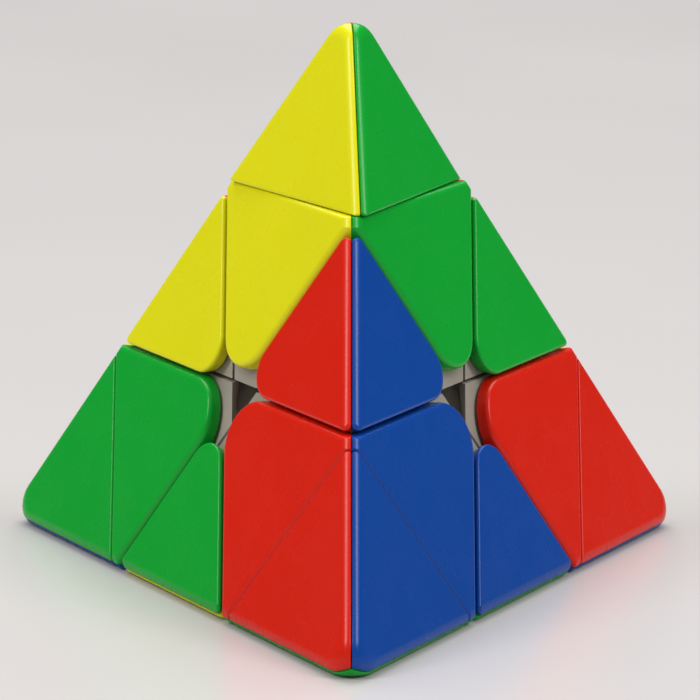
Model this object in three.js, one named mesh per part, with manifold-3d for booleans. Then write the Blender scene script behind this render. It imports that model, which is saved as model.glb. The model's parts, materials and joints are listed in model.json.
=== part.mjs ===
// A three-layer tetrahedral twisty puzzle: four turning corners on a four-armed core, each with a
// trivial tip of its own, and six edge pieces that the corners hold in place by their flanges.
// Millimetres, +Z up. The origin is the centre of the core, where the four turning axes meet.
import * as THREE from 'three';
import { mergeVertices } from 'three/addons/utils/BufferGeometryUtils.js';
import Module from 'manifold-3d';

const wasm = await Module();
wasm.setup();

// Overall size and the gaps between pieces.
const SIDE = 103;                 // edge of the sharp tetrahedron in whose faces the tiles lie
const CUT_OFFSET = 1;             // from a face's centre to each layer's cut across that face
const TURN_GAP = 0.5;             // between pieces that turn past each other
const TIP_GAP = 0.3;              // between a tip and the corner piece under it
const FIT = 0.3;                  // between pieces of one assembly, and inside the mechanism

// Coloured shells.
const SHELL = 2.2;                // thickness
const BORDER_ROUND = 1.4;         // rounding along a shell's border, and along the ridges
const VERTEX_ROUND = 3.7;         // outline radius at the four vertices
const RIDGE_ROUND = 1.8;          // outline radius where a shell's corner lies on a ridge
const CORNER_ROUND = 5.75;        // outline radius of a corner piece at the face's centre
const EDGE_ROUND = 5.5;           // outline radius of an edge piece at the face's centre
const PEG_RADIUS = 1.5;           // locating peg behind each shell
const PEG_LENGTH = 2;
const TOP_TIP_TURN = 3.8;         // how far the top tip is left out of line, degrees

// Mechanism, from the faces inward. Its walls are spheres about the core's centre and cones and
// planes about the turning axes, so each layer slides past the others at every angle.
const FLANGE_COVER = 3.5;         // from the faces to the top of the corners' flanges
const FLANGE = 3.5;               // radial thickness of the flanges
const FOOT = 3.5;                 // radial thickness of the edges' feet
const NECK_STEP = 3;              // from a layer's plane in to the cone beside the flanges, degrees
const FOOT_STEP = 6;              // from that cone out to the wider one beside the feet, degrees
const FACE_HOLE = 1.5;            // radius cleared at each face's centre

// Core, screws and springs.
const ARM_RADIUS = 3.4;
const WEB = 2;                    // floor in each corner piece that its spring presses on
const SHANK_RADIUS = 1.25;
const SCREW_LENGTH = 16;          // under the head
const HEAD_RADIUS = 2.9;
const HEAD_HEIGHT = 2.2;
const DRIVE_WIDTH = 0.8;          // cross recess in the head
const DRIVE_LENGTH = 3.6;
const DRIVE_DEPTH = 1.3;
const WIRE_RADIUS = 0.35;
const SPRING_LENGTH = 6;
const SPRING_TURNS = 4;
const SPRING_STEPS = 8;           // facets in each turn
const WIRE_STEPS = 2;             // facets in half the wire's section
const OUTLINE_STEPS = 3;          // facets in half of a shell's rounded corner

// Snap joint that holds each tip.
const STUB_RADIUS = 3.7;
const STUB_BORE = 2.5;
const STUB_LENGTH = 4;
const LIP = 0.7;                  // how far the fingers' lip stands out
const LIP_HEIGHT = 1.4;
const FINGER_SLOT = 1;

const REACH = SIDE;               // from the centre to well outside the puzzle
const BLOCK = 4 * SIDE;           // width of the blocks that cut along a plane
const ROUND_STEPS = 18;           // facets round a large turned surface
const BORE_STEPS = 12;            // facets round a screw, stub or bore
const ARC_STEP = 6;               // degrees along a profile's arc
const OVERLAP = 0.5;              // how far joined solids run into each other
const MERGE = 1e-4;               // vertices closer than this are one

const COLOURS = { red: 0xd41c06, green: 0x089e30, blue: 0x064a9c, yellow: 0xdbd90e };
const BASE_PLASTIC = 0xe6e0d2;
const CORE_PLASTIC = 0xcfcabd;
const STEEL = 0xb9bbbd;

// Directions from the core's centre to the vertices. The face opposite a vertex is on the other side.
const LEAN = Math.sqrt(8) / 3;
const AXES = {
  top: new THREE.Vector3(0, 0, 1),
  front: new THREE.Vector3(0, -LEAN, -1 / 3),
  right: new THREE.Vector3(LEAN * Math.sqrt(3) / 2, LEAN / 2, -1 / 3),
  left: new THREE.Vector3(-LEAN * Math.sqrt(3) / 2, LEAN / 2, -1 / 3),
};
const FACES = { right: 'left_face', left: 'right_face', front: 'back_face', top: 'bottom_face' };

// The colour that each piece shows on each face.
const SCHEME = {
  top: { left_face: 'yellow', right_face: 'green', back_face: 'red' },
  front: { left_face: 'red', right_face: 'blue', bottom_face: 'green' },
  left: { left_face: 'green', back_face: 'yellow', bottom_face: 'blue' },
  right: { right_face: 'red', back_face: 'yellow', bottom_face: 'blue' },
  top_front: { left_face: 'red', right_face: 'blue' },
  top_left: { left_face: 'yellow', back_face: 'red' },
  top_right: { right_face: 'green', back_face: 'red' },
  front_left: { left_face: 'green', bottom_face: 'yellow' },
  front_right: { right_face: 'blue', bottom_face: 'green' },
  left_right: { bottom_face: 'blue', back_face: 'yellow' },
};

// Distances from the core's centre, along a turning axis or a face's normal, and a tip's own ridge.
const height = SIDE * Math.sqrt(2 / 3);
const faceAt = height / 4;
const layerAt = height / 12 + CUT_OFFSET * LEAN;
const tipSide = SIDE / 3 + CUT_OFFSET * 2 / Math.sqrt(3);
const tipAt = height * 3 / 4 - tipSide * Math.sqrt(2 / 3);
const baseAt = faceAt - SHELL - FIT;
const flangeTop = faceAt - FLANGE_COVER;
const footTop = flangeTop - FLANGE;
const coreRadius = footTop - FOOT;

// Distances from a face's centre, across that face.
const vertexLine = SIDE / Math.sqrt(3);
const tipLine = vertexLine - tipSide * Math.sqrt(3) / 2;

// Half-angles of the layers' cones, in degrees.
const axisAngle = THREE.MathUtils.radToDeg(AXES.top.angleTo(AXES.front));
const neckCone = THREE.MathUtils.radToDeg(Math.acos(layerAt / flangeTop)) - NECK_STEP;
const wideCone = neckCone + FOOT_STEP;

// Heights along a turning axis.
const webBottom = footTop + FIT;
const webTop = webBottom + WEB;
const springBottom = webTop + FIT;
const headBottom = springBottom + SPRING_LENGTH + FIT;
const headTop = headBottom + HEAD_HEIGHT;
const screwEnd = headBottom - SCREW_LENGTH;
const stubEnd = tipAt - STUB_LENGTH;
const lipTop = stubEnd + LIP_HEIGHT;

const rad = THREE.MathUtils.degToRad;

// A closed geometry as a solid that can be joined and cut.
function solidOf(geometry, matrix = new THREE.Matrix4()) {
  geometry.deleteAttribute('normal');
  geometry.deleteAttribute('uv');
  const merged = mergeVertices(geometry, MERGE);
  const corners = Array.from(merged.index.array);
  const triangles = [];
  for (let i = 0; i < corners.length; i += 3) {
    const [a, b, c] = corners.slice(i, i + 3);
    if (a !== b && b !== c && c !== a) {
      triangles.push(a, b, c);
    }
  }
  merged.applyMatrix4(matrix);
  const mesh = new wasm.Mesh({
    numProp: 3,
    vertProperties: new Float32Array(merged.attributes.position.array),
    triVerts: new Uint32Array(triangles),
  });
  return new wasm.Manifold(mesh);
}

function geometryOf(solid) {
  const { vertProperties, triVerts } = solid.getMesh();
  const geometry = new THREE.BufferGeometry();
  geometry.setAttribute('position', new THREE.BufferAttribute(new Float32Array(vertProperties), 3));
  geometry.setIndex(new THREE.BufferAttribute(new Uint32Array(triVerts), 1));
  geometry.computeVertexNormals();
  return geometry;
}

// Rotation that carries +Z to a direction.
function towards(direction) {
  const turn = new THREE.Quaternion().setFromUnitVectors(AXES.top, direction);
  return new THREE.Matrix4().makeRotationFromQuaternion(turn);
}

// Everything farther than a distance along a direction.
function beyond(direction, distance) {
  const block = new THREE.BoxGeometry(BLOCK, BLOCK, BLOCK).translate(0, 0, distance + BLOCK / 2);
  return solidOf(block, towards(direction));
}

// A solid turned about +Z from a list of [radius, z] points, from the axis round to the axis.
function turned(points, steps, direction = AXES.top) {
  const outline = points.map(([radius, z]) => new THREE.Vector2(radius, z));
  const geometry = new THREE.LatheGeometry(outline, steps).rotateX(Math.PI / 2);
  return solidOf(geometry, towards(direction));
}

function cylinder(radius, bottom, top, direction = AXES.top) {
  return turned([[0, bottom], [radius, bottom], [radius, top], [0, top]], BORE_STEPS, direction);
}

// Points on a circle about the centre, between two angles from the axis, both ends included.
function arc(radius, from, to) {
  const steps = Math.max(1, Math.round(Math.abs(to - from) / ARC_STEP));
  return Array.from({ length: steps + 1 }, (_, i) => {
    const angle = rad(from + (to - from) * i / steps);
    return [radius * Math.sin(angle), radius * Math.cos(angle)];
  });
}

// The angle at which a cone, moved outward by a distance, crosses a sphere about the centre.
function coneOnSphere(halfAngle, grow, radius) {
  return halfAngle + THREE.MathUtils.radToDeg(Math.asin(grow / radius));
}

// Everything that turns together about one axis, grown by a margin. Its wall is a plane outside,
// one cone beside the flanges and another inside them: the wide one beside the edges' feet, or a
// narrow one that leaves a flange standing out over them.
function layer(direction, grow, footCone) {
  const flangeRadius = flangeTop - grow;
  const footRadius = footTop + (footCone > neckCone ? grow : -grow);
  const innerRadius = coreRadius - grow;
  const floor = layerAt - grow;
  const floorAngle = THREE.MathUtils.radToDeg(Math.acos(floor / flangeRadius));
  const profile = [
    ...arc(innerRadius, 0, coneOnSphere(footCone, grow, innerRadius)),
    ...arc(footRadius, coneOnSphere(footCone, grow, footRadius), coneOnSphere(neckCone, grow, footRadius)),
    ...arc(flangeRadius, coneOnSphere(neckCone, grow, flangeRadius), floorAngle),
    [REACH, floor],
    [REACH, REACH],
    [0, REACH],
  ];
  return turned(profile, ROUND_STEPS, direction);
}

// A plane frame on a face: x across, y towards one of its vertices, z outward.
function faceFrame(opposite, vertex) {
  const out = AXES[opposite].clone().negate();
  const up = AXES[vertex].clone().addScaledVector(out, -AXES[vertex].dot(out)).normalize();
  const across = up.clone().cross(out);
  return new THREE.Matrix4().makeBasis(across, up, out).setPosition(out.clone().multiplyScalar(faceAt));
}

// Moves each side of a polygon inward by its own distance. Side i runs from corner i to the next.
function inset(corners, distances) {
  const sides = corners.map((corner, i) => {
    const along = corners[(i + 1) % corners.length].clone().sub(corner).normalize();
    const inward = new THREE.Vector2(-along.y, along.x);
    return { start: corner.clone().addScaledVector(inward, distances[i]), along };
  });
  return sides.map((side, i) => {
    const last = sides[(i + sides.length - 1) % sides.length];
    const apart = side.start.clone().sub(last.start);
    const run = apart.cross(side.along) / last.along.cross(side.along);
    return last.start.clone().addScaledVector(last.along, run);
  });
}

// An anticlockwise polygon with each corner rounded by its own radius.
function roundedShape(corners, radii) {
  const shape = new THREE.Shape();
  corners.forEach((corner, i) => {
    const before = corners[(i + corners.length - 1) % corners.length].clone().sub(corner).normalize();
    const after = corners[(i + 1) % corners.length].clone().sub(corner).normalize();
    const half = Math.acos(before.dot(after)) / 2;
    const middle = before.clone().add(after).normalize();
    const centre = corner.clone().addScaledVector(middle, radii[i] / Math.sin(half));
    const start = Math.atan2(before.x, -before.y);
    const sweep = Math.PI - 2 * half;
    shape.absarc(centre.x, centre.y, radii[i], start, start + sweep, false);
  });
  return shape;
}

// A shell with a rounded border, lying in a face, and the peg behind it.
function plate(shape, frame) {
  const geometry = new THREE.ExtrudeGeometry(shape, {
    depth: SHELL,
    curveSegments: OUTLINE_STEPS,
    bevelThickness: BORDER_ROUND,
    bevelSize: BORDER_ROUND,
    bevelOffset: -BORDER_ROUND,
    bevelSegments: 2,
  });
  return solidOf(geometry.translate(0, 0, -SHELL - BORDER_ROUND), frame);
}

function pegAt(spot, radius, length, frame) {
  const geometry = new THREE.CylinderGeometry(radius, radius, length + OVERLAP, BORE_STEPS / 2);
  geometry.rotateX(Math.PI / 2).translate(spot.x, spot.y, -SHELL - (length - OVERLAP) / 2);
  return solidOf(geometry, frame);
}

// Cuts a shell to its thickness and parts it from the shells on the piece's other faces.
function trimShell(solid, opposite, others) {
  const out = AXES[opposite].clone().negate();
  let cut = solid.subtract(beyond(AXES[opposite], SHELL - faceAt));
  for (const other of others) {
    const across = AXES[other].clone().negate().sub(out).normalize();
    cut = cut.subtract(beyond(across, -FIT / 2));
  }
  return cut;
}

// The three kinds of tile, as corners in a face's frame. The cuts of two layers cross where an edge's
// tile starts, and a corner's tile touches the ridges at two points.
const TIP_TILE = [
  new THREE.Vector2(-tipSide / 2, tipLine),
  new THREE.Vector2(tipSide / 2, tipLine),
  new THREE.Vector2(0, vertexLine),
];
const CORNER_TILE = [
  new THREE.Vector2(0, -2 * CUT_OFFSET),
  new THREE.Vector2(tipSide / 2, tipLine),
  new THREE.Vector2(-tipSide / 2, tipLine),
];
const EDGE_TILE = [
  new THREE.Vector2(CUT_OFFSET * Math.sqrt(3), CUT_OFFSET),
  new THREE.Vector2((SIDE - tipSide) / 2, CUT_OFFSET),
  new THREE.Vector2(tipSide / 2, tipLine),
];

// Where each shell stops: at a layer's gap, beside a ridge so that the two borders make one fillet
// over it, or past a seam that cuts it square.
const turnInset = TURN_GAP / 2 / LEAN;
const ridgeInset = BORDER_ROUND * (Math.SQRT2 - 1);
const pastSeam = -2 * BORDER_ROUND;

// The left face is opposite the right vertex. One piece of each kind is made on it.
const LEFT_FACE = faceFrame('right', 'top');

function centreOf(corners) {
  return corners.reduce((sum, corner) => sum.add(corner), new THREE.Vector2()).divideScalar(3);
}

function shellOn(corners, insets, radii, others) {
  const shape = roundedShape(inset(corners, insets), radii);
  return trimShell(plate(shape, LEFT_FACE), 'right', others);
}

function withPeg(shell, corners) {
  return shell.add(pegAt(centreOf(corners), PEG_RADIUS, PEG_LENGTH, LEFT_FACE));
}

// Cuts the sockets for the pegs of the shells on the given faces.
function withSockets(solid, corners, turns) {
  const socket = pegAt(centreOf(corners), PEG_RADIUS + FIT, PEG_LENGTH + FIT, LEFT_FACE);
  return turns.reduce((cut, turn) => cut.subtract(socket.transform(turn.toArray())), solid);
}

// The base of a piece ends behind its shells.
function behindShells(solid, opposites) {
  return opposites.reduce((cut, name) => {
    return cut.subtract(beyond(AXES[name].clone().negate(), baseAt));
  }, solid);
}

function clearFaceCentres(solid, opposites) {
  return opposites.reduce((cut, name) => {
    return cut.subtract(cylinder(FACE_HOLE, flangeTop, REACH, AXES[name].clone().negate()));
  }, solid);
}

// Turns about the top axis that carry a corner's shell to its three faces.
const THREE_TURNS = [0, 1, 2].map((i) => new THREE.Matrix4().makeRotationZ(i * Math.PI * 2 / 3));

// The half turn that swaps the two faces of the edge between the top and front corners.
const ridgeMiddle = AXES.top.clone().add(AXES.front).normalize();
const HALF_TURN = new THREE.Matrix4().makeRotationAxis(ridgeMiddle, Math.PI);

function tipShell() {
  const radii = [RIDGE_ROUND, RIDGE_ROUND, VERTEX_ROUND];
  const shell = shellOn(TIP_TILE, [pastSeam, ridgeInset, ridgeInset], radii, ['left', 'front']);
  const foot = beyond(AXES.top.clone().negate(), -tipAt - TIP_GAP / 2);
  return withPeg(shell.subtract(foot), TIP_TILE);
}

function cornerShell() {
  const radii = [CORNER_ROUND, RIDGE_ROUND, RIDGE_ROUND];
  const insets = [turnInset, pastSeam, turnInset];
  const shell = shellOn(CORNER_TILE, insets, radii, ['left', 'front']);
  const inLayer = shell.intersect(layer(AXES.top, -TURN_GAP / 2, wideCone));
  const clear = ['front', 'left'].reduce((cut, name) => {
    return cut.subtract(layer(AXES[name], TURN_GAP / 2, wideCone));
  }, inLayer);
  return withPeg(clear.subtract(beyond(AXES.top, tipAt - TIP_GAP / 2)), CORNER_TILE);
}

function edgeShell() {
  const radii = [EDGE_ROUND, RIDGE_ROUND, RIDGE_ROUND];
  const shell = shellOn(EDGE_TILE, [turnInset, ridgeInset, turnInset], radii, ['left']);
  const inLayers = shell.intersect(layer(AXES.top, -TURN_GAP / 2, wideCone))
    .intersect(layer(AXES.front, -TURN_GAP / 2, wideCone));
  return withPeg(inLayers, EDGE_TILE);
}

// A tip's base: a small tetrahedron, with a stub of four snap fingers that turn in the corner piece.
function tipBase() {
  const blank = cylinder(REACH, tipAt + TIP_GAP / 2, REACH);
  const block = behindShells(blank, ['front', 'left', 'right']);
  const stub = turned([
    [0, stubEnd],
    [STUB_RADIUS, stubEnd],
    [STUB_RADIUS + LIP, stubEnd + LIP_HEIGHT / 2],
    [STUB_RADIUS + LIP, lipTop],
    [STUB_RADIUS, lipTop],
    [STUB_RADIUS, tipAt + OVERLAP],
    [0, tipAt + OVERLAP],
  ], BORE_STEPS);
  const bore = cylinder(STUB_BORE, stubEnd - OVERLAP, tipAt);
  const slotHeight = STUB_LENGTH + OVERLAP;
  const slot = new THREE.BoxGeometry(REACH, FINGER_SLOT, slotHeight);
  const slotSolid = solidOf(slot.translate(0, 0, tipAt - slotHeight / 2));
  const crossSlot = slotSolid.transform(new THREE.Matrix4().makeRotationZ(Math.PI / 2).toArray());
  const fingers = stub.subtract(bore).subtract(slotSolid).subtract(crossSlot);
  return withSockets(block.add(fingers), TIP_TILE, THREE_TURNS);
}

// A corner's base: flange and collar inside, a bore for the core's arm and the screw, a pocket for
// the spring and the chamber that the tip's fingers snap into.
function cornerBase() {
  const own = layer(AXES.top, -TURN_GAP / 2, axisAngle - wideCone);
  const clear = ['front', 'left', 'right'].reduce((cut, name) => {
    return cut.subtract(layer(AXES[name], TURN_GAP / 2, neckCone));
  }, own);
  const capped = clear.subtract(beyond(AXES.top, tipAt - TIP_GAP / 2));
  const bore = turned([
    [0, 0],
    [ARM_RADIUS + FIT, 0],
    [ARM_RADIUS + FIT, webBottom],
    [SHANK_RADIUS + FIT, webBottom],
    [SHANK_RADIUS + FIT, webTop],
    [HEAD_RADIUS + TURN_GAP, webTop],
    [HEAD_RADIUS + TURN_GAP, stubEnd - TURN_GAP],
    [STUB_RADIUS + LIP + FIT, stubEnd - TURN_GAP],
    [STUB_RADIUS + LIP + FIT, lipTop + FIT],
    [STUB_RADIUS + FIT, lipTop + FIT],
    [STUB_RADIUS + FIT, tipAt + OVERLAP],
    [0, tipAt + OVERLAP],
  ], BORE_STEPS);
  const trimmed = behindShells(capped, ['front', 'left', 'right']).subtract(bore);
  const open = clearFaceCentres(trimmed, ['front', 'left', 'right']);
  return withSockets(open, CORNER_TILE, THREE_TURNS);
}

// An edge's base: the block behind its two shells, its neck, and the foot under both flanges.
function edgeBase() {
  const both = layer(AXES.top, -TURN_GAP / 2, wideCone)
    .intersect(layer(AXES.front, -TURN_GAP / 2, wideCone));
  const open = clearFaceCentres(behindShells(both, ['left', 'right']), ['left', 'right']);
  return withSockets(open, EDGE_TILE, [new THREE.Matrix4(), HALF_TURN]);
}

// The core: a ball with an arm along each axis, bored for that arm's screw.
function core() {
  const ball = new THREE.SphereGeometry(coreRadius - TURN_GAP / 2, BORE_STEPS, BORE_STEPS / 2);
  return Object.values(AXES).reduce((solid, axis) => {
    const arm = cylinder(ARM_RADIUS, 0, footTop, axis);
    return solid.add(arm).subtract(cylinder(SHANK_RADIUS + FIT, screwEnd - FIT, REACH, axis));
  }, solidOf(ball));
}

function screw() {
  const blank = turned([
    [0, screwEnd],
    [SHANK_RADIUS, screwEnd],
    [SHANK_RADIUS, headBottom],
    [HEAD_RADIUS, headBottom],
    [HEAD_RADIUS, headTop],
    [0, headTop],
  ], BORE_STEPS);
  const recess = new THREE.BoxGeometry(DRIVE_LENGTH, DRIVE_WIDTH, 2 * DRIVE_DEPTH);
  const across = solidOf(recess.translate(0, 0, headTop));
  const along = across.transform(new THREE.Matrix4().makeRotationZ(Math.PI / 2).toArray());
  return blank.subtract(across).subtract(along);
}

// The centre line of a compression spring round a screw's shank.
class SpringLine extends THREE.Curve {
  getPoint(t, target = new THREE.Vector3()) {
    const angle = t * SPRING_TURNS * Math.PI * 2;
    const radius = SHANK_RADIUS + FIT + WIRE_RADIUS;
    const rise = t * (SPRING_LENGTH - 2 * WIRE_RADIUS);
    return target.set(radius * Math.cos(angle), radius * Math.sin(angle), springBottom + WIRE_RADIUS + rise);
  }
}

function spring() {
  const wire = new THREE.Shape().absarc(0, 0, WIRE_RADIUS, 0, Math.PI * 2, false);
  return new THREE.ExtrudeGeometry(wire, {
    steps: SPRING_TURNS * SPRING_STEPS,
    curveSegments: WIRE_STEPS,
    bevelEnabled: false,
    extrudePath: new SpringLine(),
  });
}

// Placing the pieces.
function plastic(colour, roughness) {
  return new THREE.MeshStandardMaterial({ color: colour, roughness, metalness: 0 });
}

const shellPlastics = Object.fromEntries(
  Object.entries(COLOURS).map(([name, colour]) => [name, plastic(colour, 0.3)]),
);
const basePlastic = plastic(BASE_PLASTIC, 0.5);
const corePlastic = plastic(CORE_PLASTIC, 0.5);
const steel = new THREE.MeshStandardMaterial({ color: STEEL, roughness: 0.35, metalness: 1 });

function named(name, geometry, material) {
  const mesh = new THREE.Mesh(geometry, material);
  mesh.name = name;
  return mesh;
}

// The vertex that a turned direction points to.
function vertexAlong(direction) {
  return Object.keys(AXES).reduce((best, name) => {
    return direction.dot(AXES[name]) > direction.dot(AXES[best]) ? name : best;
  });
}

// One piece's base and shells in a group that is turned into place.
function piece(place, key, label, baseGeometry, shellGeometry, shellTurns) {
  const group = new THREE.Group();
  group.setRotationFromMatrix(place);
  group.add(named(`${label}_base`, baseGeometry, basePlastic));
  for (const turn of shellTurns) {
    const out = AXES.right.clone().applyMatrix4(turn).applyMatrix4(place);
    const colour = SCHEME[key][FACES[vertexAlong(out)]];
    const shell = named(`${label}_shell_${colour}`, shellGeometry, shellPlastics[colour]);
    shell.setRotationFromMatrix(turn);
    group.add(shell);
  }
  return group;
}

// Turns that carry the top corner to each corner in turn.
function turnAbout(name) {
  return new THREE.Matrix4().makeRotationAxis(AXES[name], Math.PI * 2 / 3);
}

const CORNER_PLACES = {
  top: new THREE.Matrix4(),
  front: turnAbout('right'),
  left: turnAbout('front'),
  right: turnAbout('left'),
};
const EDGE_PLACES = [new THREE.Matrix4(), turnAbout('right')].flatMap((lower) => {
  return THREE_TURNS.map((turn) => turn.clone().multiply(lower));
});

const puzzle = new THREE.Group();
puzzle.add(named('core', geometryOf(core()), corePlastic));

const shapes = {
  tipBase: geometryOf(tipBase()),
  tipShell: geometryOf(tipShell()),
  cornerBase: geometryOf(cornerBase()),
  cornerShell: geometryOf(cornerShell()),
  edgeBase: geometryOf(edgeBase()),
  edgeShell: geometryOf(edgeShell()),
  screw: geometryOf(screw()),
  spring: spring(),
};

for (const [name, place] of Object.entries(CORNER_PLACES)) {
  const tipPlace = name === 'top' ? new THREE.Matrix4().makeRotationZ(rad(TOP_TIP_TURN)) : place;
  puzzle.add(piece(tipPlace, name, `${name}_tip`, shapes.tipBase, shapes.tipShell, THREE_TURNS));
  puzzle.add(piece(place, name, `${name}_corner`, shapes.cornerBase, shapes.cornerShell, THREE_TURNS));
  const pivot = new THREE.Group();
  pivot.setRotationFromMatrix(place);
  pivot.add(named(`${name}_screw`, shapes.screw, steel));
  pivot.add(named(`${name}_spring`, shapes.spring, steel));
  puzzle.add(pivot);
}

for (const place of EDGE_PLACES) {
  const ends = ['top', 'front'].map((name) => vertexAlong(AXES[name].clone().applyMatrix4(place)));
  const key = Object.keys(SCHEME).find((name) => {
    return name.includes('_') && ends.every((end) => name.split('_').includes(end));
  });
  const shellTurns = [new THREE.Matrix4(), HALF_TURN];
  puzzle.add(piece(place, key, `${key}_edge`, shapes.edgeBase, shapes.edgeShell, shellTurns));
}

export default puzzle;
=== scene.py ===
import json

import bmesh
import bpy
import numpy as np
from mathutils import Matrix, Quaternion, Vector


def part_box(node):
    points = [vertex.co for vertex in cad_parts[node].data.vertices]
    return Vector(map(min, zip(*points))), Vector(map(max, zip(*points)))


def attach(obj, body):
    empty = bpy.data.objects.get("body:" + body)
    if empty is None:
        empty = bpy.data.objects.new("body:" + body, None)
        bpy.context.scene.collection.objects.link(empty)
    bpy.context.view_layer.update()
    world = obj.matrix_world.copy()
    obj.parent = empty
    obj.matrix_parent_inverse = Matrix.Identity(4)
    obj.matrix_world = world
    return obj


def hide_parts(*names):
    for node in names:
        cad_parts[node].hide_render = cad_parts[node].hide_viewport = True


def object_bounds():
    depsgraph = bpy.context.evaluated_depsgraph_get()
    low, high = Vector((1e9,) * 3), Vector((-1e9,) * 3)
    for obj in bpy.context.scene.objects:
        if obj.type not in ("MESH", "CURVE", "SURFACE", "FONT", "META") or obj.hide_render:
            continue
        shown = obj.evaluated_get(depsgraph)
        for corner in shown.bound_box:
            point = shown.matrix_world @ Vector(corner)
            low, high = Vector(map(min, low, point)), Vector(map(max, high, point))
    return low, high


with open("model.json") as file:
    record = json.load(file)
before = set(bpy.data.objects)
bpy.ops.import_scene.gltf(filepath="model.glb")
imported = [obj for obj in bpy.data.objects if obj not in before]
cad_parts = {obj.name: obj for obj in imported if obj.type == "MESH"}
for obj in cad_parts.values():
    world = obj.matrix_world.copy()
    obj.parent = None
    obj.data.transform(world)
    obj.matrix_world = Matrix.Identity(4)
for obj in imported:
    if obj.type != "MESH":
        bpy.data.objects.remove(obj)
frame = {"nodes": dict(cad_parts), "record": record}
cad_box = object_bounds()

# The core: one moulding of off-white nylon, a ball with four round arms that stand square to the
# puzzle's faces. Each arm is bored for a screw, and its corner piece turns on it as on an axle.
BALL_UNDER_ARM = 0.00375
ARM_RADIUS = 0.0034
ARM_BORE = 0.00155
ARM_CHAMFER = 0.0004
ARM_ROOT = 0.9          # how far out in the ball an arm starts, as a share of the ball's radius
CORE_STEPS = 64
BALL_ROWS = 48
CHAMFER_STEPS = 6
CORE_COLOUR = (0.625, 0.597, 0.509, 1)
MERGE_DISTANCE = 2e-7

PATCH_SCALE = 160       # of the patches in which a plastic's roughness drifts
PATCH_RANGE = (0.3, 0.7)
PIGMENT_SCALE = 45
PIGMENT_DRIFT = 0.05

turning_axes = {
    joint["child"].removesuffix("_corner"): np.array(joint["axis"], float)
    for joint in frame["record"]["behaviour"]["joints"]
    if joint["name"].endswith("_layer_turn")
}
CORNERS = sorted(turning_axes)
UP = np.array((0, 0, 1.0))
arm_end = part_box("core")[1][2]


def turned_about(axis, profile, steps):
    """Surface of revolution: each (radius, height) of the profile is carried round the axis, so a point
    is height * axis + radius * (cos(angle) * across + sin(angle) * beside)."""
    profile = np.asarray(profile, float)
    beside = np.cross(axis, (1, 0, 0)) if abs(axis[0]) < 0.9 else np.cross(axis, (0, 1, 0))
    beside = beside / np.linalg.norm(beside)
    across = np.cross(beside, axis)
    angle = np.linspace(0, 2 * np.pi, steps, endpoint=False)
    ring = np.cos(angle)[:, None] * across + np.sin(angle)[:, None] * beside
    return profile[:, 0, None, None] * ring[None] + (profile[:, 1, None] * axis)[:, None, :]


def arc(centre, radius, start, end, steps):
    """Points on a circle in a profile's plane, from one angle to another in degrees."""
    angle = np.radians(np.linspace(start, end, steps))
    return np.stack([centre[0] + radius * np.cos(angle), centre[1] + radius * np.sin(angle)], -1)


def grid_faces(rows, columns, closed_rows):
    """Quads of a grid whose columns close round, and whose last row joins the first if closed_rows."""
    down = np.arange(rows if closed_rows else rows - 1)[:, None]
    across = np.arange(columns)[None, :]
    below, right = (down + 1) % rows, (across + 1) % columns
    first, second = down * columns + across, down * columns + right
    third, fourth = below * columns + right, below * columns + across
    return np.stack(np.broadcast_arrays(first, second, third, fourth), -1).reshape(-1, 4)


def moulding(name, surfaces, material, sharp_degrees=40):
    """A mesh object made of closed surfaces, each a (rows, columns, 3) grid and whether its rows close.
    Points that fall together at a pole are merged, and the faces are turned outwards."""
    points, faces, count = [], [], 0
    for grid, closed_rows in surfaces:
        rows, columns, _ = grid.shape
        points.append(grid.reshape(-1, 3))
        faces.append(grid_faces(rows, columns, closed_rows) + count)
        count += rows * columns
    mesh = bpy.data.meshes.new(name)
    mesh.from_pydata(np.concatenate(points), [], np.concatenate(faces).tolist())
    shape = bmesh.new()
    shape.from_mesh(mesh)
    bmesh.ops.remove_doubles(shape, verts=shape.verts, dist=MERGE_DISTANCE)
    bmesh.ops.recalc_face_normals(shape, faces=shape.faces)
    shape.to_mesh(mesh)
    shape.free()
    mesh.shade_smooth()
    mesh.set_sharp_from_angle(angle=np.radians(sharp_degrees))
    mesh.materials.append(material)
    piece = bpy.data.objects.new(name, mesh)
    bpy.context.scene.collection.objects.link(piece)
    return piece


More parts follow.
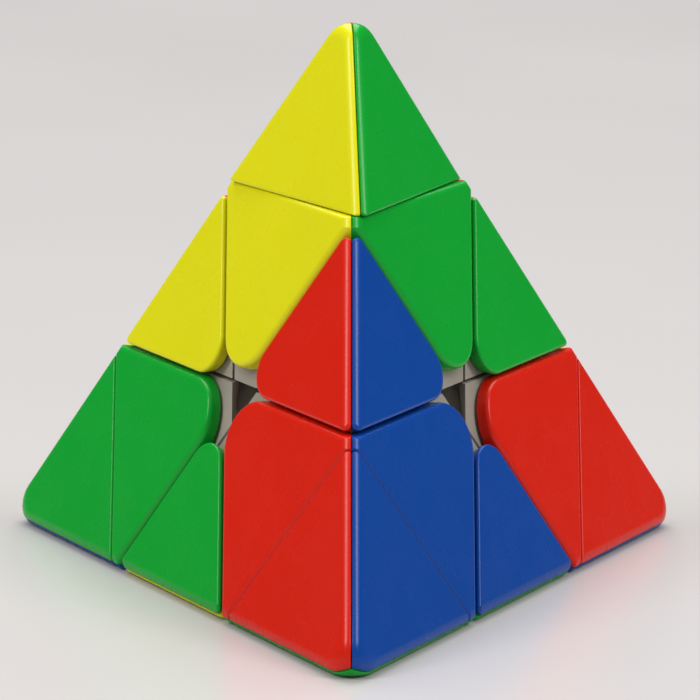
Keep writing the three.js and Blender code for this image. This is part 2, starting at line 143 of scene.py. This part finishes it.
def moulded_plastic(name, colour, roughness, spread, grain, depth, specular):
    """Plastic out of a polished or a spark-eroded mould: the roughness drifts by its spread in soft
    patches, a fine grain lifts the surface by its depth, and the pigment is a little uneven."""
    material = bpy.data.materials.new(name)
    material.use_nodes = True
    nodes, links = material.node_tree.nodes, material.node_tree.links
    shader = nodes["Principled BSDF"]
    shader.inputs["Specular IOR Level"].default_value = specular
    place = nodes.new("ShaderNodeTexCoord")
    patches = nodes.new("ShaderNodeTexNoise")
    patches.inputs["Scale"].default_value = PATCH_SCALE
    patches.inputs["Detail"].default_value = 3
    links.new(place.outputs["Object"], patches.inputs["Vector"])
    finish = nodes.new("ShaderNodeMapRange")
    finish.inputs["From Min"].default_value = PATCH_RANGE[0]
    finish.inputs["From Max"].default_value = PATCH_RANGE[1]
    finish.inputs["To Min"].default_value = roughness - spread
    finish.inputs["To Max"].default_value = roughness + spread
    links.new(patches.outputs["Fac"], finish.inputs["Value"])
    links.new(finish.outputs["Result"], shader.inputs["Roughness"])
    pigment = nodes.new("ShaderNodeTexNoise")
    pigment.inputs["Scale"].default_value = PIGMENT_SCALE
    pigment.inputs["Detail"].default_value = 2
    links.new(place.outputs["Object"], pigment.inputs["Vector"])
    tint = nodes.new("ShaderNodeMix")
    tint.data_type = "RGBA"
    tint.inputs["A"].default_value = tuple(c * (1 - PIGMENT_DRIFT) for c in colour[:3]) + (1,)
    tint.inputs["B"].default_value = tuple(min(1, c * (1 + PIGMENT_DRIFT)) for c in colour[:3]) + (1,)
    links.new(pigment.outputs["Fac"], tint.inputs["Factor"])
    links.new(tint.outputs["Result"], shader.inputs["Base Color"])
    texture = nodes.new("ShaderNodeTexNoise")
    texture.inputs["Scale"].default_value = grain
    texture.inputs["Detail"].default_value = 1
    links.new(place.outputs["Object"], texture.inputs["Vector"])
    relief = nodes.new("ShaderNodeBump")
    relief.inputs["Distance"].default_value = depth
    relief.inputs["Strength"].default_value = 1
    links.new(texture.outputs["Fac"], relief.inputs["Height"])
    links.new(relief.outputs["Normal"], shader.inputs["Normal"])
    return material


ball_radius = arm_end - BALL_UNDER_ARM
core_nylon = moulded_plastic(
    "core_nylon", CORE_COLOUR, roughness=0.45, spread=0.06, grain=900, depth=0.000004, specular=0.4
)
ball = turned_about(UP, arc((0, 0), ball_radius, -90, 90, BALL_ROWS), CORE_STEPS)
arm_profile = np.concatenate([
    arc((ARM_BORE + ARM_CHAMFER, arm_end - ARM_CHAMFER), ARM_CHAMFER, 180, 90, CHAMFER_STEPS),
    arc((ARM_RADIUS - ARM_CHAMFER, arm_end - ARM_CHAMFER), ARM_CHAMFER, 90, 0, CHAMFER_STEPS),
    [(ARM_RADIUS, ball_radius * ARM_ROOT), (ARM_BORE, ball_radius * ARM_ROOT)],
])
core_surfaces = [(ball, False)]
for corner in CORNERS:
    core_surfaces.append((turned_about(turning_axes[corner], arm_profile, CORE_STEPS), True))
core_piece = moulding("nylon_core", core_surfaces, core_nylon)
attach(core_piece, "core")
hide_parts("core")

# The four corner screws: zinc-plated steel with a pan head, a cross recess and a coarse thread.
# Each goes through its spring and its corner piece into the core's arm, and sets the tension.
HEAD_RADIUS = 0.0029
HEAD_HEIGHT = 0.0022
HEAD_RIM = 0.0002       # bevel under the head's edge
HEAD_ROWS = 72
HEAD_STEPS = 144
CROWN_SHARE = 0.55      # of the head's height, the part that the crown rises over its rim
RECESS_DEPTH = 0.0013
RECESS_WIDTH = 0.0008
RECESS_REACH = 0.0018
RECESS_SLOPE = 0.00012  # width of the recess's sloping walls
RECESS_RISE = 0.4       # share of its depth that the recess loses towards its ends
SHANK_RADIUS = 0.00125
SHANK_ROWS = 240
SHANK_STEPS = 32
SHANK_IN_HEAD = 0.0003
SCREW_LENGTH = 0.016
PLAIN_SHANK = 0.00285
THREAD_DEPTH = 0.00022
THREAD_PITCH = 0.0008
POINT_LENGTH = 0.0008
POINT_WIDTH = 0.35      # of the shank's radius
STEEL_BANDS = 900
STEEL_ROUGHNESS = (0.22, 0.42)
STEEL_COLOUR = (0.49, 0.5, 0.51, 1)
BRIGHT_COLOUR = (0.62, 0.62, 0.6, 1)


def plated_steel(name):
    """Bright zinc over steel: fine noise stands for the drawn and rolled marks, and shifts the
    roughness and the colour together between their two values."""
    material = bpy.data.materials.new(name)
    material.use_nodes = True
    nodes, links = material.node_tree.nodes, material.node_tree.links
    shader = nodes["Principled BSDF"]
    shader.inputs["Metallic"].default_value = 1
    place = nodes.new("ShaderNodeTexCoord")
    bands = nodes.new("ShaderNodeTexNoise")
    bands.inputs["Scale"].default_value = STEEL_BANDS
    bands.inputs["Detail"].default_value = 5
    links.new(place.outputs["Object"], bands.inputs["Vector"])
    finish = nodes.new("ShaderNodeMapRange")
    finish.inputs["To Min"].default_value = STEEL_ROUGHNESS[0]
    finish.inputs["To Max"].default_value = STEEL_ROUGHNESS[1]
    links.new(bands.outputs["Fac"], finish.inputs["Value"])
    links.new(finish.outputs["Result"], shader.inputs["Roughness"])
    tint = nodes.new("ShaderNodeMix")
    tint.data_type = "RGBA"
    tint.inputs["A"].default_value = STEEL_COLOUR
    tint.inputs["B"].default_value = BRIGHT_COLOUR
    links.new(bands.outputs["Fac"], tint.inputs["Factor"])
    links.new(tint.outputs["Result"], shader.inputs["Base Color"])
    return material


def placed(points, axis):
    """Points made round +Z, turned so that +Z lies along the axis."""
    turn = np.array(Vector((0, 0, 1)).rotation_difference(Vector(axis)).to_matrix())
    return points @ turn.T


def threaded_shank(bottom, top):
    """A helicoid rolled on a cylinder: the radius falls by the thread's depth times a smooth wave of
    height / pitch - angle / turn, below where the plain shank ends, and closes to a blunt point."""
    rows = np.linspace(bottom, top, SHANK_ROWS)[:, None]
    angle = np.linspace(0, 2 * np.pi, SHANK_STEPS, endpoint=False)[None, :]
    wave = 0.5 - 0.5 * np.cos(2 * np.pi * (rows / THREAD_PITCH) - angle)
    cut = np.clip((top - PLAIN_SHANK - rows) / THREAD_PITCH, 0, 1)
    point = np.clip((rows - bottom) / POINT_LENGTH, 0, 1)
    radius = (SHANK_RADIUS - THREAD_DEPTH * wave * cut) * (POINT_WIDTH + (1 - POINT_WIDTH) * point)
    height = np.broadcast_to(rows, radius.shape)
    body = np.stack([radius * np.cos(angle), radius * np.sin(angle), height], -1)
    first, last = body[:1] * UP, body[-1:] * UP
    return np.concatenate([first, body, last])


def recessed_head(bottom, top):
    """A pan head: a flat underside, a rolled rim, and a low crown in which the recess sinks wherever
    a point lies within half the recess's width of either of two crossed lines."""
    radius = HEAD_RADIUS * np.sin(np.linspace(0, np.pi / 2, HEAD_ROWS))[:, None]
    angle = np.linspace(0, 2 * np.pi, HEAD_STEPS, endpoint=False)[None, :]
    x, y = radius * np.cos(angle), radius * np.sin(angle)
    bulge = np.sqrt(np.clip(1 - (radius / HEAD_RADIUS) ** 3, 0, 1))
    crown = bulge * CROWN_SHARE + 1 - CROWN_SHARE
    off_line = np.minimum(abs(x), abs(y)) - RECESS_WIDTH / 2
    along_line = RECESS_REACH - np.maximum(abs(x), abs(y))
    inside = np.clip(0.5 - off_line / RECESS_SLOPE, 0, 1) * np.clip(along_line / RECESS_SLOPE, 0, 1)
    sunk = RECESS_DEPTH * inside * (1 - RECESS_RISE * radius / RECESS_REACH).clip(0)
    upper = np.stack([x, y, bottom + (top - bottom) * crown - sunk], -1)
    under = [(HEAD_RADIUS, bottom + HEAD_RIM), (HEAD_RADIUS - HEAD_RIM, bottom), (0, bottom)]
    return np.concatenate([upper, turned_about(UP, under, HEAD_STEPS)])


head_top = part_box("top_screw")[1][2]
head_bottom = head_top - HEAD_HEIGHT
zinc = plated_steel("zinc_steel")
shank = threaded_shank(head_bottom - SCREW_LENGTH, head_bottom + SHANK_IN_HEAD)
head = recessed_head(head_bottom, head_top)
for corner in CORNERS:
    screw_surfaces = [(placed(part, turning_axes[corner]), False) for part in (shank, head)]
    screw = moulding(f"{corner}_pan_screw", screw_surfaces, zinc)
    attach(screw, "core")
    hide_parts(f"{corner}_screw")

# The four compression springs: steel wire, wound five turns, with its end turns laid closed. Each
# presses its corner piece onto the core, so that the layers click and don't rattle.
WIRE_RADIUS = 0.00035
WIRE_STEPS = 14
SPRING_TURNS = 5
SPRING_LENGTH = 0.006
TURN_STEPS = 36
CLOSED_TURN = 0.8       # how much of a turn lies closed at each end
CLOSED_RISE = 0.55      # what it rises, as a share of the wire's thickness
COIL_RADIUS = 0.0019


def coil(bottom):
    """A round wire on a helix: the middle runs round at the coil's radius while the height rises
    slowly over the first and last turns and evenly between them."""
    turn = np.linspace(0, SPRING_TURNS, SPRING_TURNS * TURN_STEPS)
    wire = 2 * WIRE_RADIUS
    knots = (0, CLOSED_TURN, SPRING_TURNS - CLOSED_TURN, SPRING_TURNS)
    rises = (0, wire * CLOSED_RISE, SPRING_LENGTH - wire * (1 + CLOSED_RISE), SPRING_LENGTH - wire)
    height = bottom + WIRE_RADIUS + np.interp(turn, knots, rises)
    out = np.stack([np.cos(2 * np.pi * turn), np.sin(2 * np.pi * turn), 0 * turn], -1)
    section = np.linspace(0, 2 * np.pi, WIRE_STEPS, endpoint=False)
    across = np.cos(section)[None, :, None] * out[:, None, :]
    upward = np.sin(section)[None, :, None] * UP
    middle = COIL_RADIUS * out + height[:, None] * UP
    tube = middle[:, None, :] + WIRE_RADIUS * (across + upward)
    first, last = (np.broadcast_to(middle[i], (1,) + tube.shape[1:]) for i in (0, -1))
    return np.concatenate([first, tube, last])


wound = coil(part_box("top_spring")[0][2])
for corner in CORNERS:
    spring = moulding(f"{corner}_coil_spring", [(placed(wound, turning_axes[corner]), False)], zinc)
    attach(spring, "core")
    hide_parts(f"{corner}_spring")

# The bases of the corners, tips and edges: off-white ABS mouldings that make up the mechanism. The
# corners' flanges hold down the edges' feet, and every working edge is eased by a small radius.
EASED_EDGE = 0.0002
EASED_STEPS = 3
EASED_ANGLE = 33        # edges that turn by more than this many degrees are eased
FLAT_ANGLE = 1
BASE_MERGE = 1e-6
BASE_COLOUR = (0.34, 0.312, 0.262, 1)
base_abs = moulded_plastic(
    "base_abs", BASE_COLOUR, roughness=0.4, spread=0.05, grain=900, depth=0.000003, specular=0.4
)


def eased(node, name, material):
    """A node's own shape with its facets shaded smooth and its edges rounded by a bevel."""
    mesh = frame["nodes"][node].data.copy()
    mesh.name = name
    shape = bmesh.new()
    shape.from_mesh(mesh)
    bmesh.ops.remove_doubles(shape, verts=shape.verts, dist=BASE_MERGE)
    flat = np.radians(FLAT_ANGLE)
    bmesh.ops.dissolve_limit(shape, angle_limit=flat, verts=shape.verts, edges=shape.edges)
    shape.to_mesh(mesh)
    shape.free()
    mesh.shade_smooth()
    mesh.materials.clear()
    mesh.materials.append(material)
    piece = bpy.data.objects.new(name, mesh)
    bpy.context.scene.collection.objects.link(piece)
    bevel = piece.modifiers.new("eased", "BEVEL")
    bevel.width = EASED_EDGE
    bevel.segments = EASED_STEPS
    bevel.limit_method = "ANGLE"
    bevel.angle_limit = np.radians(EASED_ANGLE)
    bevel.harden_normals = True
    bevel.use_clamp_overlap = True
    return piece


bodies = frame["record"]["behaviour"]["bodies"]
for body, members in bodies.items():
    for node in members:
        if node.endswith("_base"):
            base = eased(node, node.replace("_base", "_moulding"), base_abs)
            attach(base, body)
            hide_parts(node)

# The coloured shells: 36 tiles of dyed ABS, one for each face of each piece, with no stickers. A peg
# behind each is pressed into its base. Their borders roll over, and on a ridge two shells meet in a
# mitred seam, so that the two borders make one rounded ridge.
SHELL_DEPTH = 0.0022
CUT_OFFSET = 0.001      # from a face's centre to each layer's cut across that face
RIDGE_FILLET = 0.0018
LAYER_FILLET = 0.0007
SEAM_FILLET = 0.0005
BACK_FILLET = 0.0002
TURN_GAP = 0.0005
SEAM_GAP = 0.00008
MITRE_GAP = 0.0001
MITRE_EDGE = 0.00012    # over which a ridge's roll passes into its mitre
VERTEX_DROP = 0.0052    # from where a sharp vertex would be, down to the top of its rounding
VERTEX_SPREAD = 0.0025  # how much wider the rounding is at its top
RIDGE_END = 0.0008
SEAM_END = 0.0003
NOSE_END = 0.00025
NOSE_CUT = 0.001        # how far a corner tile's ends are cut back along its ridges
CORNER_ROUND = 0.0063
EDGE_ROUND = 0.004
SHARPEST = 0.00004
PEG_RADIUS = 0.0015
PEG_LENGTH = 0.002
PEG_STEPS = 24
PEG_FILLET_STEPS = 5
CORNER_STEPS = 14
FILLET_STEPS = 12
WALL_ROWS = 4
FACE_RINGS = (0, 0.5, 0.9, 0.99)
BACK_RINGS = (0.98, 0)
SHARP_BORDER = 60
TOP_TIP_TURN = 3.8      # degrees by which the top tip stands out of line

SHELL_COLOURS = {
    "red": (0.64, 0.012, 0.002, 1),
    "green": (0.002, 0.345, 0.028, 1),
    "blue": (0.002, 0.056, 0.31, 1),
    "yellow": (0.7, 0.68, 0.004, 1),
}

# The cuts of the layers cross a face a little outside its centre, and a tip reaches down its ridges to
# where they come out. Side i of a tile runs from corner i to the next one. A corner tile has a short
# nose side on each ridge, between its seam to the tip and its layer's cut.
MITRE = np.sqrt(2)          # a ridge's mitre goes in this much for each unit of depth
UNDERCUT = np.sqrt(1 / 8)   # a cut plane's lean under a face
CUT_SLOPE = np.sqrt(9 / 8)  # the width of a gap on a face, over its width square to the cut
face_at = -cad_box[0][2]
side = face_at * 4 * np.sqrt(3 / 2)
tip_side = side / 3 + CUT_OFFSET * 2 / np.sqrt(3)
vertex_line = side / np.sqrt(3)
tip_line = vertex_line - tip_side * np.sqrt(3) / 2
nose_upper = tip_side / 2 - NOSE_CUT
nose_lower = tip_side / 2 - NOSE_CUT / 2
nose_line = tip_line - NOSE_CUT * np.sqrt(3) / 2
TILES = {
    "tip": {
        "corners": [(-tip_side / 2, tip_line), (tip_side / 2, tip_line), (0, vertex_line)],
        "sides": ["tip_seam", "ridge", "ridge"],
        "rounds": [SEAM_END, SEAM_END, 0],
    },
    "corner": {
        "corners": [
            (0, -2 * CUT_OFFSET),
            (nose_lower, nose_line),
            (nose_upper, tip_line),
            (-nose_upper, tip_line),
            (-nose_lower, nose_line),
        ],
        "sides": ["corner_layer", "nose", "corner_seam", "nose", "corner_layer"],
        "rounds": [CORNER_ROUND, NOSE_END, NOSE_END, NOSE_END, NOSE_END],
    },
    "edge": {
        "corners": [
            (CUT_OFFSET * np.sqrt(3), CUT_OFFSET),
            ((side - tip_side) / 2, CUT_OFFSET),
            (tip_side / 2, tip_line),
        ],
        "sides": ["edge_layer", "ridge", "edge_layer"],
        "rounds": [EDGE_ROUND, RIDGE_END, RIDGE_END],
    },
}


def rolled(depth, fillet):
    """How far a rounded border stands back at each depth: a quarter circle, then nothing."""
    left = np.clip(1 - depth / fillet, 0, 1)
    return fillet * (1 - np.sqrt(1 - left ** 2))


def larger(first, second, blend):
    """The greater of two values, with their crossing rounded off."""
    return (first + second + np.sqrt((first - second) ** 2 + blend ** 2)) / 2


def stand_back(kind, depth):
    """How far a side of that kind stands back from the tile's own line, at each depth: on a ridge the
    greater of the roll and the mitre, and elsewhere half the gap, the roll and the cut's lean, which
    goes outwards under a corner tile and inwards under a tip or an edge."""
    if kind in ("ridge", "nose"):
        over = RIDGE_FILLET * (MITRE - 1) + rolled(depth, RIDGE_FILLET)
        back = larger(over, MITRE * depth + MITRE_GAP / 2 * np.sqrt(3), MITRE_EDGE)
        return back - (NOSE_CUT * np.sqrt(3) / 2 if kind == "nose" else 0)
    lean = -UNDERCUT if kind.startswith("corner") else UNDERCUT
    if kind.endswith("layer"):
        return TURN_GAP / 2 * CUT_SLOPE + rolled(depth, LAYER_FILLET) + lean * depth
    return SEAM_GAP / 2 * CUT_SLOPE + rolled(depth, SEAM_FILLET) + lean * depth


def corner_radius(largest, sides, before, after, depth):
    """The radius of a tile's corner at each depth: the given one where the borders' roll ends, less
    the mean distance that the two sides close in from there. At a corner tile's round end the lean is
    taken off once more, so that the wall there stands square to the face, and on a ridge the radius
    fades to nothing under the roll. A largest of 0 stands for the puzzle's vertex: there a tile ends
    on a plane square to the turning axis, at the vertex's drop, which widens by a quarter circle."""
    if not largest:
        climb = np.clip(1 - depth / (VERTEX_DROP / 3), 0, 1)
        reach = VERTEX_DROP * np.sqrt(8) / 3 + VERTEX_SPREAD * (1 - np.sqrt(1 - climb ** 2))
        return np.maximum(reach - 2 * after, SHARPEST)
    level = np.searchsorted(depth, LAYER_FILLET)
    radius = largest - (before + after - before[level] - after[level]) / 2
    if sides == ("corner_layer", "corner_layer"):
        radius = radius + UNDERCUT * (depth - depth[level])
    if "ridge" in sides or "nose" in sides:
        fade = (VERTEX_DROP / 3 - depth) / (VERTEX_DROP / 3 - RIDGE_FILLET / 2)
        radius = radius * np.clip(fade, 0, 1)
    return np.maximum(radius, SHARPEST)


def tile_outlines(tile, depth):
    """One rounded polygon for each depth, as a (depths, points, 2) array: each side is moved in by its
    own distance, and each corner is an arc that touches the two sides beside it."""
    corners = np.array(tile["corners"])
    along = np.roll(corners, -1, 0) - corners
    along /= np.linalg.norm(along, axis=1)[:, None]
    inward = np.stack([-along[:, 1], along[:, 0]], -1)
    back = np.stack([stand_back(kind, depth) for kind in tile["sides"]], -1)
    loops = []
    for i, largest in enumerate(tile["rounds"]):
        before, after = back[:, i - 1], back[:, i]
        sides = (tile["sides"][i - 1], tile["sides"][i])
        radius = corner_radius(largest, sides, before, after, depth)
        pull_before, pull_after = before + radius, after + radius
        cross = inward[i - 1, 0] * inward[i, 1] - inward[i - 1, 1] * inward[i, 0]
        centre_x = corners[i, 0] + (pull_before * inward[i, 1] - pull_after * inward[i - 1, 1]) / cross
        centre_y = corners[i, 1] + (pull_after * inward[i - 1, 0] - pull_before * inward[i, 0]) / cross
        start = np.arctan2(-inward[i - 1, 1], -inward[i - 1, 0])
        sweep = np.arctan2(cross, inward[i - 1] @ inward[i])
        angle = start + sweep * np.linspace(0, 1, CORNER_STEPS)
        loops.append(np.stack([
            centre_x[:, None] + radius[:, None] * np.cos(angle),
            centre_y[:, None] + radius[:, None] * np.sin(angle),
        ], -1))
    return np.concatenate(loops, 1)


def tile_surface(tile):
    """A tile's whole skin: outlines at growing depth from the flat face, over the border and down the
    wall, closed by rings that shrink to the middle of the face and of the back."""
    turn = np.radians(np.linspace(0, 90, FILLET_STEPS))
    over = RIDGE_FILLET * (1 - np.cos(turn))
    wall = np.linspace(RIDGE_FILLET, SHELL_DEPTH - BACK_FILLET, WALL_ROWS)[1:]
    depth = np.concatenate([over, wall])
    rings = tile_outlines(tile, depth)
    middle = rings[0].mean(0)

    def shrunk(ring, scale, level):
        inner = middle + (ring - middle) * scale
        return np.concatenate([inner, np.full((len(ring), 1), -level)], 1)[None]

    heights = np.broadcast_to(-depth[:, None, None], rings.shape[:2] + (1,))
    face = [shrunk(rings[0], scale, 0) for scale in FACE_RINGS]
    back = [shrunk(rings[-1], scale, SHELL_DEPTH) for scale in BACK_RINGS]
    return np.concatenate(face + [np.concatenate([rings, heights], -1)] + back), middle


def peg_surface(middle):
    """The peg behind a tile: a short cylinder with a rounded end, standing on the tile's back."""
    end = -SHELL_DEPTH - PEG_LENGTH
    rounding = arc((PEG_RADIUS - BACK_FILLET, end + BACK_FILLET), BACK_FILLET, 0, -90, PEG_FILLET_STEPS)
    profile = np.concatenate([
        [(0, -SHELL_DEPTH / 2), (PEG_RADIUS, -SHELL_DEPTH / 2)],
        rounding,
        [(0, end)],
    ])
    return turned_about(UP, profile, PEG_STEPS) + np.append(middle, 0)


def face_frame(opposite, vertex):
    """Rows are the directions across, towards a vertex, and out of the face opposite another vertex."""
    out = -turning_axes[opposite]
    towards = turning_axes[vertex] - (turning_axes[vertex] @ out) * out
    towards = towards / np.linalg.norm(towards)
    return np.stack([np.cross(towards, out), towards, out])


def shell_frame(kind, ends, node):
    """The frame of the face that a shell's middle is nearest to, seen from the right vertex."""
    low, high = (np.array(corner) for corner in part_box(node))
    middle = (low + high) / 2
    others = [name for name in CORNERS if name not in ends]
    opposite = min(others, key=lambda name: turning_axes[name] @ middle)
    vertex = ends[0]
    if kind == "edge" and face_frame(opposite, vertex)[0] @ turning_axes[ends[1]] < 0:
        vertex = ends[1]
    return face_frame(opposite, vertex)


shell_abs = {
    colour: moulded_plastic(
        f"{colour}_abs", value, roughness=0.27, spread=0.03, grain=300, depth=0.000001, specular=0.27
    )
    for colour, value in SHELL_COLOURS.items()
}
skins = {kind: tile_surface(tile) for kind, tile in TILES.items()}
tip_turn = np.radians(TOP_TIP_TURN)
about_top = np.array([
    (np.cos(tip_turn), -np.sin(tip_turn), 0),
    (np.sin(tip_turn), np.cos(tip_turn), 0),
    (0, 0, 1),
])
for body, members in bodies.items():
    for node in members:
        if "_shell_" not in node:
            continue
        *ends, kind = body.split("_")
        basis = shell_frame(kind, ends, node)
        skin, middle = skins[kind]
        shell_surfaces = []
        for grid in (skin, peg_surface(middle)):
            world = grid @ basis + basis[2] * face_at
            if body == "top_tip":
                world = world @ about_top.T
            shell_surfaces.append((world, False))
        colour = node.split("_shell_")[1]
        tile_name = node.replace("_shell_", "_tile_")
        shell = moulding(tile_name, shell_surfaces, shell_abs[colour], SHARP_BORDER)
        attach(shell, body)
        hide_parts(node)

# The floor: a pale, faintly glossy table top of satin laminate, wide enough to fill the view. The
# puzzle rests on it by its lower face.
FLOOR_SPAN = 6.0
FLOOR_SPECULAR = 0.3
FLOOR_PATCHES = 12
FLOOR_ROUGHNESS = (0.2, 0.26)
FLOOR_COLOUR = (0.525, 0.508, 0.503, 1)


def table_top(name):
    """A satin laminate: the roughness varies a little in soft patches."""
    material = bpy.data.materials.new(name)
    material.use_nodes = True
    nodes, links = material.node_tree.nodes, material.node_tree.links
    shader = nodes["Principled BSDF"]
    shader.inputs["Base Color"].default_value = FLOOR_COLOUR
    shader.inputs["Specular IOR Level"].default_value = FLOOR_SPECULAR
    place = nodes.new("ShaderNodeTexCoord")
    patches = nodes.new("ShaderNodeTexNoise")
    patches.inputs["Scale"].default_value = FLOOR_PATCHES
    links.new(place.outputs["Object"], patches.inputs["Vector"])
    finish = nodes.new("ShaderNodeMapRange")
    finish.inputs["To Min"].default_value = FLOOR_ROUGHNESS[0]
    finish.inputs["To Max"].default_value = FLOOR_ROUGHNESS[1]
    links.new(patches.outputs["Fac"], finish.inputs["Value"])
    links.new(finish.outputs["Result"], shader.inputs["Roughness"])
    return material


floor_mesh = bpy.data.meshes.new("floor")
reach = FLOOR_SPAN / 2
floor_corners = [(-reach, -reach), (reach, -reach), (reach, reach), (-reach, reach)]
floor_mesh.from_pydata([(x, y, -face_at) for x, y in floor_corners], [], [(0, 1, 2, 3)])
floor_mesh.materials.append(table_top("table_laminate"))
floor = bpy.data.objects.new("floor", floor_mesh)
bpy.context.scene.collection.objects.link(floor)

# The light: two tall soft boxes high to the left and right of the camera, whose reflections run down
# the rounded ridges, and a broad one overhead behind the puzzle. The room is pale and even, and
# shows only dimly in glossy surfaces, so that the dyed faces keep their colour.
SIDE_LIGHTS = {"left": -1, "right": 1}
SIDE_ANGLE = 62
SIDE_DISTANCE = 0.9
SIDE_SIZE = (0.2, 0.8)
SIDE_POWER = 6.9
SIDE_HEIGHT = 0.85
TOP_SIZE = (1.4, 1.4)
TOP_POWER = 25.0
TOP_PLACE = (0, 0.85, 1.2)
TOP_TARGET = (0, 0.5, 0)
ROOM_COLOUR = (0.68, 0.665, 0.66, 1)
ROOM_STRENGTH = 0.68
ROOM_IN_GLOSS = 0.06


def soft_box(name, place, target, size, power):
    """An area light that faces a point."""
    light = bpy.data.lights.new(name, "AREA")
    light.shape = "RECTANGLE"
    light.size, light.size_y = size
    light.energy = power
    lamp = bpy.data.objects.new(name, light)
    lamp.location = place
    lamp.rotation_euler = (Vector(target) - Vector(place)).to_track_quat("-Z", "Y").to_euler()
    bpy.context.scene.collection.objects.link(lamp)


for name, sign in SIDE_LIGHTS.items():
    swing = np.radians(SIDE_ANGLE) * sign
    place = (SIDE_DISTANCE * np.sin(swing), -SIDE_DISTANCE * np.cos(swing), SIDE_HEIGHT)
    soft_box(f"{name}_soft_box", place, (0, 0, 0), SIDE_SIZE, SIDE_POWER)
soft_box("top_soft_box", TOP_PLACE, TOP_TARGET, TOP_SIZE, TOP_POWER)

room = bpy.data.worlds.new("pale_room")
room.use_nodes = True
background = room.node_tree.nodes["Background"]
background.inputs["Color"].default_value = ROOM_COLOUR
ray = room.node_tree.nodes.new("ShaderNodeLightPath")
strength = room.node_tree.nodes.new("ShaderNodeMapRange")
strength.inputs["To Min"].default_value = ROOM_STRENGTH
strength.inputs["To Max"].default_value = ROOM_IN_GLOSS
room.node_tree.links.new(ray.outputs["Is Glossy Ray"], strength.inputs["Value"])
room.node_tree.links.new(strength.outputs["Result"], background.inputs["Strength"])
bpy.context.scene.world = room
bpy.context.scene.view_settings.view_transform = "Standard"

# The camera: a long lens a little above the puzzle, in front of its ridge, tipped by a slight roll.
# Its angles are in degrees, its lens in millimetres and its distances in metres.
CAMERA_AZIMUTH = -0.8
CAMERA_ELEVATION = 13.64
CAMERA_ROLL = 0.55
CAMERA_DISTANCE = 0.647
CAMERA_LENS = 234.2
CAMERA_SENSOR = 36
NEAREST_SEEN = 0.01
AIM_ABOVE = 0.011
AIM_BESIDE = 0.0002

azimuth, elevation = np.radians((CAMERA_AZIMUTH, CAMERA_ELEVATION))
level_back = np.array((np.sin(azimuth), -np.cos(azimuth), 0))
back = level_back * np.cos(elevation) + UP * np.sin(elevation)
right = np.cross(-back, UP)
right = right / np.linalg.norm(right)
above = np.cross(right, -back)
eye = back * CAMERA_DISTANCE
aim = above * AIM_ABOVE + right * AIM_BESIDE
camera_data = bpy.data.cameras.new("camera")
camera_data.lens = CAMERA_LENS
camera_data.sensor_width = CAMERA_SENSOR
camera_data.clip_start = NEAREST_SEEN
camera = bpy.data.objects.new("camera", camera_data)
camera.location = eye
camera.rotation_mode = "QUATERNION"
roll = Quaternion(Vector(eye - aim).normalized(), np.radians(CAMERA_ROLL))
camera.rotation_quaternion = roll @ Vector(aim - eye).to_track_quat("-Z", "Y")
bpy.context.scene.collection.objects.link(camera)
bpy.context.scene.camera = camera
